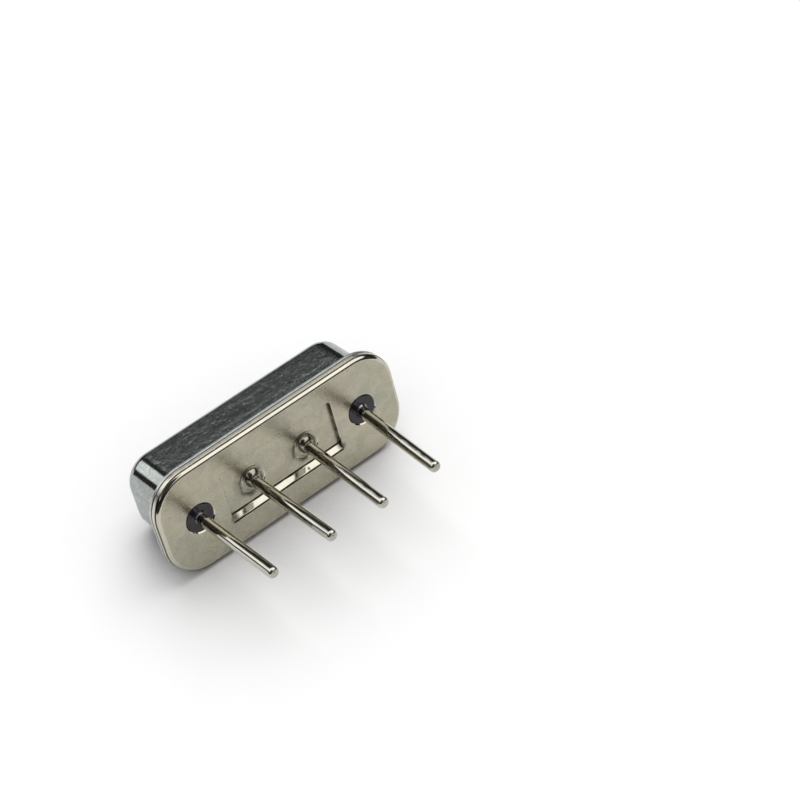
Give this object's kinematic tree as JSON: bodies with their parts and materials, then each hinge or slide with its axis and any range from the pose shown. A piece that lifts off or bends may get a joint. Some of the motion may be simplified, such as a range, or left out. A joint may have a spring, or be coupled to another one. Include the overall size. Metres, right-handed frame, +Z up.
{
  "type": "surface acoustic wave resonator",
  "caption": "Flat metal-can surface acoustic wave resonator with a welded flange, glass-sealed signal leads and ground leads in a row under its header.",
  "frame": {"origin": "centre of the bounding box, on the table that the package lies on", "axes": "+X along the row of leads from lead 1 to lead 4, +Y from the lead tips towards the top of the can, +Z up from the table; the package lies on its long side, so its leads point towards -Y and rise at the tilt of 15 degrees"},
  "size_m": [0.011, 0.008, 0.0044],
  "materials": {
    "can_nickel": "drawn steel sheet, nickel plated, satin top with bright rolled edges",
    "header_nickel": "coined steel plate, nickel plated, warm satin with faint stains",
    "lead_nickel": "drawn wire, nickel plated, bright with fine lengthwise drawing lines",
    "seal_glass": "fused dark glass, smooth and opaque",
    "die_quartz": "polished quartz with sawn edges",
    "die_glue": "cured silicone glue, matt",
    "metal_film": "evaporated film, mirror bright",
    "bond_wire": "drawn wire, bright"
  },
  "bodies": {
    "root": {"can": "can_nickel", "header": "header_nickel", "glass_seal_1": "seal_glass", "glass_seal_4": "seal_glass", "signal_lead_1": "lead_nickel", "ground_lead_2": "lead_nickel", "ground_lead_3": "lead_nickel", "signal_lead_4": "lead_nickel", "die_adhesive": "die_glue", "quartz_die": "die_quartz", "comb_left": "metal_film", "comb_right": "metal_film", "reflector_left": "metal_film", "reflector_right": "metal_film", "bond_wire_left": "bond_wire", "bond_wire_right": "bond_wire"}
  },
  "joints": []
}
